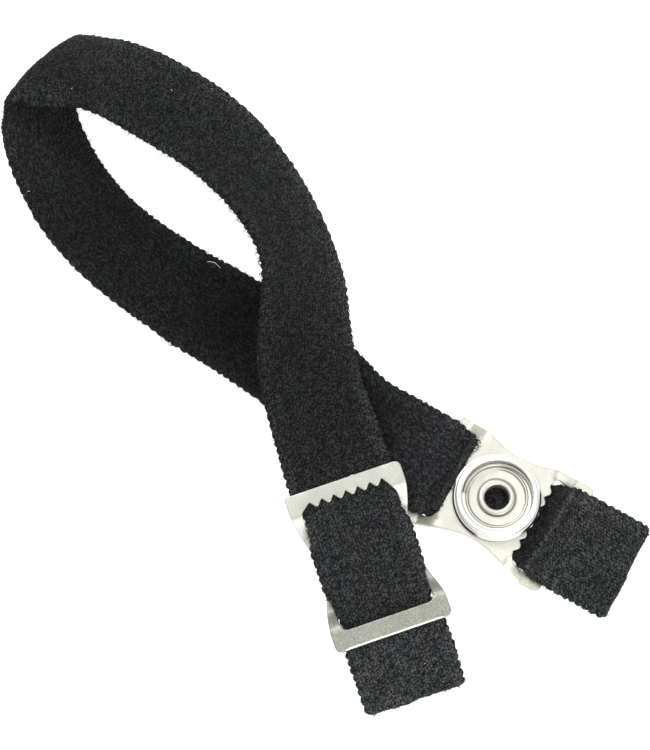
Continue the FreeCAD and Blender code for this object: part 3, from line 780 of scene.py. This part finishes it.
# ---- the metal parts ----------------------------------------------------------------------------
def rounded(points, radii, steps=5):
    """A closed (r, z) outline with each corner replaced by a short arc of its own radius."""
    line = []
    count = len(points)
    for i, radius in enumerate(radii):
        here = np.array(points[i], float)
        before, after = np.array(points[i - 1], float), np.array(points[(i + 1) % count], float)
        p, q = unit(before - here), unit(after - here)
        reach = min(radius, 0.48 * np.linalg.norm(before - here), 0.48 * np.linalg.norm(after - here))
        if reach < 1e-4:
            line.append(tuple(here))
            continue
        start, stop = here + p * reach, here + q * reach
        for k in range(steps + 1):
            t = k / steps
            line.append(tuple((1 - t) ** 2 * start + 2 * t * (1 - t) * here + t * t * stop))
    return line


def lathe(name, outline, segments=180):
    """A closed (r, z) outline turned about the Z axis."""
    turns = np.linspace(0, 2 * np.pi, segments, endpoint=False)
    r, z = np.array(outline).T
    points = np.stack([np.outer(np.cos(turns), r), np.outer(np.sin(turns), r),
                       np.tile(z, (segments, 1))], axis=2).reshape(-1, 3) * MM
    count = len(outline)
    index = np.arange(segments * count).reshape(segments, count)
    nxt = np.roll(index, -1, axis=0)
    quads = np.stack([index, nxt, np.roll(nxt, -1, axis=1), np.roll(index, -1, axis=1)], axis=2)
    obj = new_mesh(name, points.tolist(), quads.reshape(-1, 4).tolist())
    mesh = bmesh.new()
    mesh.from_mesh(obj.data)
    bmesh.ops.recalc_face_normals(mesh, faces=mesh.faces)
    mesh.to_mesh(obj.data)
    mesh.free()
    obj.data.set_sharp_from_angle(angle=math.radians(38))
    return obj


# Turned outlines as (r, z), with a corner radius for each point.
BASE = -2.5                 # underside of the socket, on the web
SHELL = [(5.9, -0.72), (5.9, 0.0), (6.95, 0.0), (6.95, -1.75), (7.4, -1.75), (7.4, -2.1),
         (6.75, -2.1), (6.75, BASE), (5.25, BASE), (5.25, -1.7), (6.55, -1.7), (6.55, -0.72)]
SHELL_RADII = (0.16, 0.42, 0.5, 0.10, 0.17, 0.17, 0.05, 0.05, 0.05, 0.05, 0.1, 0.1)
DISH = [(2.4, -2.48), (5.2, -2.48), (5.2, -1.74), (4.85, -1.74), (4.72, -2.13), (3.5, -2.13),
        (3.3, -2.13), (2.4, -2.13)]
DISH_RADII = (0.02, 0.1, 0.16, 0.16, 0.36, 0.02, 0.02, 0.02)
EYELET = [(2.05, -3.58), (3.0, -3.58), (3.0, -3.32), (2.35, -3.32), (2.35, -2.08), (3.15, -2.08),
          (3.12, -1.72), (2.75, -1.50), (2.3, -1.50), (2.05, -1.75)]
EYELET_RADII = (0.05, 0.1, 0.1, 0.05, 0.05, 0.18, 0.25, 0.3, 0.25, 0.3)
CRESCENTS = [(-130, 52), (6, 42)]       # painted flange shade: middle and half width, in degrees


def flange_painted_shade(points):
    """Two crescents on the flange's edge: painted shadow gap and painted reflection of the band."""
    radius = np.hypot(points[:, 0], points[:, 1])
    turn = np.degrees(np.arctan2(points[:, 1], points[:, 0]))
    amount = 0
    for middle, half in CRESCENTS:
        off = np.abs((turn - middle + 180) % 360 - 180)
        amount = amount + 1 - smooth_step((off - half + 20) / 20)
    return amount * smooth_step((radius - 6.98) / 0.2) * (points[:, 2] < -1.0)


def dish_dark_ring(points):
    """A ring on the dish round the eyelet."""
    return 0.45 * (np.hypot(points[:, 0], points[:, 1]) < 3.4)


def eyelet_dark_lip(points):
    """The outside of the eyelet's lip."""
    return 0.5 * smooth_step((np.hypot(points[:, 0], points[:, 1]) - 2.9) / 0.25)


for name, node_name, outline, radii, material, dark_marks in (
        ("snap_rim", "socket_shell", SHELL, SHELL_RADII, socket_material, flange_painted_shade),
        ("snap_dish", "socket_dish", DISH, DISH_RADII, dish_material, dish_dark_ring),
        ("snap_eyelet", "socket_eyelet", EYELET, EYELET_RADII, dish_material, eyelet_dark_lip)):
    turned_part = lathe(name, rounded(outline, radii))
    spots = np.array([vertex.co for vertex in turned_part.data.vertices]) / MM
    # Darkening per vertex: painted shade on the flange, dark rings on the dish and eyelet.
    set_values(turned_part.data, "dark_rings_and_painted_shade", dark_marks(spots))
    turned_part.data.materials.append(material)
    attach(turned_part, "snap_plate_assembly")
    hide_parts(node_name)


# The stamped plates. Both are cut from the same kind of sheet, with bars at X beyond BAR_INNER and a
# web between the slots.
SHEET = 0.8                 # thickness
BAR_INNER, SLOT_SIDE = 10.35, 8.1
PLATE_END, PLATE_SIDE, PLATE_WAIST = 13.6, 10.1, 7.95
WAIST_REACH = 11.0          # where the hourglass waist starts, from the middle
SLOT_CORNERS = (1.9, 1.5, 1.5, 1.9)
RAMP_START, RAMP_END = 7.5, 10.25
STRIP_START = 6.0           # where the ramps start on the side strips, beside the slots
STRIP_INSIDE, STRIP_OUTSIDE = 6.5, 8.2
TOOTH_PITCH, TOOTH_COUNT, TOOTH_HEIGHT = 2.1, 6, 1.0
EDGE_ROUND = 0.17           # rounding along every edge of the stamped sheet
ROLL_REACH = 0.6            # how far in from the sheared end its top face starts to fall
ROLL_DROP = 0.36            # how far it falls there, on the adjuster
RIVET_HOLE = 2.4            # radius of the eyelet's hole
SNAP_WEB_LEVEL, SNAP_BAR_LEVEL = 1.65, -1.35        # middle of the sheet, from the band's middle
ADJUSTER_WEB_LEVEL, ADJUSTER_BAR_LEVEL = -1.35, 1.35


def waist(side):
    """Points of the waist on one side, smooth into the straight sides at both ends."""
    x = np.linspace(WAIST_REACH, -WAIST_REACH, 45) * side
    y = PLATE_WAIST + (PLATE_SIDE - PLATE_WAIST) * (1 - np.cos(np.pi * x / WAIST_REACH)) / 2
    return list(zip(x, side * y))


def plate_outline(corner_radii, burr=()):
    """Hourglass outline. Corner order: (+X, -Y), (+X, +Y), (-X, +Y), (-X, -Y)."""
    far, near, upper, lower = corner_radii
    upper_waist, lower_waist = waist(1), waist(-1)
    points = [(PLATE_END, -PLATE_SIDE), (PLATE_END, PLATE_SIDE)] + upper_waist
    points += [(-PLATE_END, PLATE_SIDE)] + list(burr) + [(-PLATE_END, -PLATE_SIDE)] + lower_waist
    radii = [far, near] + [0] * len(upper_waist) + [upper] + [0] * len(burr) + [lower]
    return rounded(points, radii + [0] * len(lower_waist), 8)


def plain_slot(sx):
    """Slot with round corners between the web and the bar on side sx."""
    points = [(sx * WEB_END, -SLOT_SIDE), (sx * BAR_INNER, -SLOT_SIDE), (sx * BAR_INNER, SLOT_SIDE),
              (sx * WEB_END, SLOT_SIDE)]
    return rounded(points, SLOT_CORNERS, 8)


def toothed_slot(root, tip, start, first_side, last_side):
    """Slot with teeth along one edge: roots at root, tips at tip, and plain ends at start."""
    points = [(start, -SLOT_SIDE), (first_side, -SLOT_SIDE)]
    radii = [0.6, 0.5]
    for i in range(TOOTH_COUNT):
        y = (i - TOOTH_COUNT / 2) * TOOTH_PITCH
        points += [(root, y), (tip, y + 0.38 * TOOTH_PITCH), (tip, y + 0.62 * TOOTH_PITCH)]
        radii += [0.12, 0.3, 0.3]
    points += [(root, TOOTH_COUNT * TOOTH_PITCH / 2), (last_side, SLOT_SIDE), (start, SLOT_SIDE)]
    return rounded(points, radii + [0.12, 0.5, 0.6], 4)


def circle(radius, steps=96):
    """A round hole's outline."""
    turns = np.linspace(0, 2 * np.pi, steps, endpoint=False)
    return list(zip(radius * np.cos(turns), radius * np.sin(turns)))


def stamped_plate(name, loops, web_level, bar_level, roll, place):
    """Sheet cut along the loops, its edges rounded, bent along X through smooth ramps. roll is how
    far the top face is drawn down along the +X end, where the sheet was sheared."""
    curve = bpy.data.curves.new(name, "CURVE")
    curve.dimensions = "2D"
    curve.fill_mode = "BOTH"
    curve.extrude = SHEET / 2 - EDGE_ROUND
    curve.bevel_depth = EDGE_ROUND
    curve.bevel_resolution = 2
    curve.offset = -EDGE_ROUND
    for loop in loops:
        line = curve.splines.new("POLY")
        line.points.add(len(loop) - 1)
        for point, (x, y) in zip(line.points, loop):
            point.co = (x, y, 0, 1)
        line.use_cyclic_u = True
    blank = bpy.data.objects.new(name, curve)
    mesh = bmesh.new()
    mesh.from_mesh(bpy.data.meshes.new_from_object(blank))
    bpy.data.objects.remove(blank)
    bmesh.ops.remove_doubles(mesh, verts=mesh.verts, dist=0.002)
    bends = np.linspace(STRIP_START - 0.3, RAMP_END + 0.3, 20)
    sides = np.linspace(STRIP_INSIDE, STRIP_OUTSIDE, 6)
    cuts = [(x, (1, 0, 0)) for x in np.concatenate([-bends, bends])]
    cuts += [(y, (0, 1, 0)) for y in np.concatenate([-sides, sides])]
    cuts += [(x, (1, 0, 0)) for x in np.linspace(PLATE_END - ROLL_REACH, PLATE_END - 0.2, 4)]
    for distance, axis in cuts:
        bmesh.ops.bisect_plane(mesh, geom=mesh.verts[:] + mesh.edges[:] + mesh.faces[:], dist=0.0005,
                               plane_co=Vector(axis) * distance, plane_no=axis)
    along, rub_and_painted_highlight = mesh.verts.layers.float.new("along"), mesh.verts.layers.float.new("rub_and_painted_highlight")
    for vertex in mesh.verts:
        x, y, z = vertex.co
        vertex[along] = x
        level, slope = sheet_level(x, y, web_level, bar_level)
        past = max(x - PLATE_END + ROLL_REACH, 0) / ROLL_REACH
        past *= 1 - float(smooth_step((abs(y) - PLATE_SIDE + 2.2) / 1.6))
        # The rolled end: a smoother finish there, and a lighter colour as a painted highlight.
        vertex[rub_and_painted_highlight] = past if roll else 0.0
        z -= roll * past * past * (z + SHEET / 2) / SHEET
        tilt = math.atan(slope)
        vertex.co = place @ (Vector((x - z * math.sin(tilt), y, level + z * math.cos(tilt))) * MM)
    bmesh.ops.recalc_face_normals(mesh, faces=mesh.faces)
    obj = new_mesh(name, [], [])
    mesh.to_mesh(obj.data)
    mesh.free()
    obj.data.polygons.foreach_set("use_smooth", [True] * len(obj.data.polygons))
    obj.data.set_sharp_from_angle(angle=math.radians(60))
    obj.modifiers.new("shading", "WEIGHTED_NORMAL").keep_sharp = True
    return obj


def sheet_level(x, y, web_level, bar_level):
    """Height of the bent sheet's middle at (x, y), and its slope along X."""
    on_strip = float(smooth_step((abs(y) - STRIP_INSIDE) / (STRIP_OUTSIDE - STRIP_INSIDE)))
    start = RAMP_START + (STRIP_START - RAMP_START) * on_strip
    share = min(max((abs(x) - start) / (RAMP_END - start), 0), 1)
    rise = bar_level - web_level
    slope = rise * 6 * share * (1 - share) / (RAMP_END - start) * (1 if x > 0 else -1)
    return web_level + rise * share * share * (3 - 2 * share), slope


CORNER, TRIMMED = 1.6, 0.4  # corner radii; the adjuster has one corner trimmed almost square
BURR_AT = 1.8               # a small burr on the outer edge of the toothed bar
BURR = [(-PLATE_END, BURR_AT + 0.5), (-PLATE_END - 0.15, BURR_AT), (-PLATE_END, BURR_AT - 0.5)]
BAR_ROOT = -(PLATE_END - 2.0)
adjuster_turn = Matrix.Rotation(math.radians(ADJUSTER_HEADING), 4, "Z")
adjuster_turn = adjuster_turn @ Matrix.Rotation(math.radians(ADJUSTER_PITCH), 4, "Y")
adjuster_place = Matrix.Translation(Vector(ADJUSTER_PLACE) * MM) @ adjuster_turn
adjuster_loops = [plate_outline((CORNER, CORNER, CORNER, TRIMMED), BURR), plain_slot(1),
                  toothed_slot(BAR_ROOT, BAR_ROOT + TOOTH_HEIGHT, -WEB_END, BAR_ROOT + 1.4,
                               BAR_ROOT + 2.7)]
adjuster = stamped_plate("adjuster_sheet", adjuster_loops, ADJUSTER_WEB_LEVEL, ADJUSTER_BAR_LEVEL,
                         ROLL_DROP, adjuster_place)
snap_loops = [plate_outline((CORNER,) * 4), plain_slot(-1), circle(RIVET_HOLE),
              toothed_slot(WEB_END - 0.7, WEB_END, BAR_INNER, WEB_END - 0.2, WEB_END - 0.2)]
snap_place = Matrix.Translation(Vector(SNAP_PLACE) * MM)
snap = stamped_plate("snap_sheet", snap_loops, SNAP_WEB_LEVEL, SNAP_BAR_LEVEL, 0.0, snap_place)
for obj, material, body, node_name in ((adjuster, adjuster_material, "adjuster", "adjuster_plate"),
                                       (snap, plate_material, "snap_plate_assembly", "snap_plate")):
    obj.data.materials.append(material)
    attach(obj, body)
    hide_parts(node_name)

# The spring ring keeps the CAD's own mesh.
wire = bpy.data.objects["spring_ring"]
for material_slot in wire.material_slots:
    material_slot.material = wire_material
if not wire.material_slots:
    wire.data.materials.append(wire_material)


# ---- floor, light and camera --------------------------------------------------------------------
WHITE = (1.0, 1.0, 1.0, 1.0)
FLOOR_HALF = 1.5            # metres, like the lights' places and sizes below
floor_corners = [(sx * FLOOR_HALF, sy * FLOOR_HALF, -MOUTH_HEIGHT * MM)
                 for sx, sy in ((-1, -1), (1, -1), (1, 1), (-1, 1))]
floor = new_mesh("floor", floor_corners, [(0, 1, 2, 3)], False)
paper = Nodes("paper")
paper_place = paper.add("ShaderNodeTexCoord").outputs["Object"]
paper_tone = paper.span(paper.noise(paper_place, 60.0, 3.0), 0.3, 0.7)
paper.set(Base_Color=paper.mix(paper_tone, grey(0.60), grey(0.64)), Roughness=0.9)
paper.shader.inputs["Emission Color"].default_value = WHITE
paper.shader.inputs["Emission Strength"].default_value = 0.8
floor.data.materials.append(paper.material)

scene = bpy.context.scene
scene.world = bpy.data.worlds.new("studio")
scene.world.use_nodes = True
background = scene.world.node_tree.nodes["Background"]
background.inputs["Color"].default_value = WHITE
background.inputs["Strength"].default_value = 0.62

AZIMUTH, ELEVATION = math.radians(30.0), math.radians(76.0)
RIGHT = Vector((math.cos(AZIMUTH), math.sin(AZIMUTH), 0))
AWAY = Vector((-math.sin(AZIMUTH), math.cos(AZIMUTH), 0))
MIDDLE = Vector((-0.04, 0.0, 0.0))      # what the lights point at


def area_light(name, right, away, height, size, power):
    """Round soft light; its place is as seen from the camera, from the middle of the strap."""
    light = bpy.data.lights.new(name, "AREA")
    light.shape = "DISK"
    light.size = size
    light.energy = power
    obj = bpy.data.objects.new(name, light)
    place = MIDDLE + RIGHT * right + AWAY * away + Vector((0, 0, height))
    turn = (place - MIDDLE).to_track_quat("Z", "Y").to_matrix().to_4x4()
    obj.matrix_world = Matrix.Translation(place) @ turn
    scene.collection.objects.link(obj)


area_light("softbox", -0.05, 0.18, 1.0, 1.2, 3.6)
area_light("key", -0.35, 0.55, 0.7, 0.35, 3.6)
area_light("front_card", 0.22, -0.52, 0.24, 0.5, 2.0)
area_light("side_card", 0.50, -0.27, 0.20, 0.35, 0.75)

CAMERA_DISTANCE = 520.0     # from the target
VIEW_SIZE = 126.0           # how much of the target plane the picture's longer side takes in
back = Vector((math.sin(AZIMUTH) * math.cos(ELEVATION), -math.cos(AZIMUTH) * math.cos(ELEVATION),
               math.sin(ELEVATION)))
target = Vector((-35.29, 4.01, -2.5)) * MM
camera_data = bpy.data.cameras.new("camera")
camera_data.sensor_width = 36.0
camera_data.lens = camera_data.sensor_width * CAMERA_DISTANCE / VIEW_SIZE
camera_data.clip_start = 0.01
camera = bpy.data.objects.new("camera", camera_data)
camera_turn = back.to_track_quat("Z", "Y").to_matrix().to_4x4()
camera.matrix_world = Matrix.Translation(target + back * CAMERA_DISTANCE * MM) @ camera_turn
scene.collection.objects.link(camera)
scene.camera = camera
scene.view_settings.view_transform = "Standard"
scene.view_settings.look = "None"
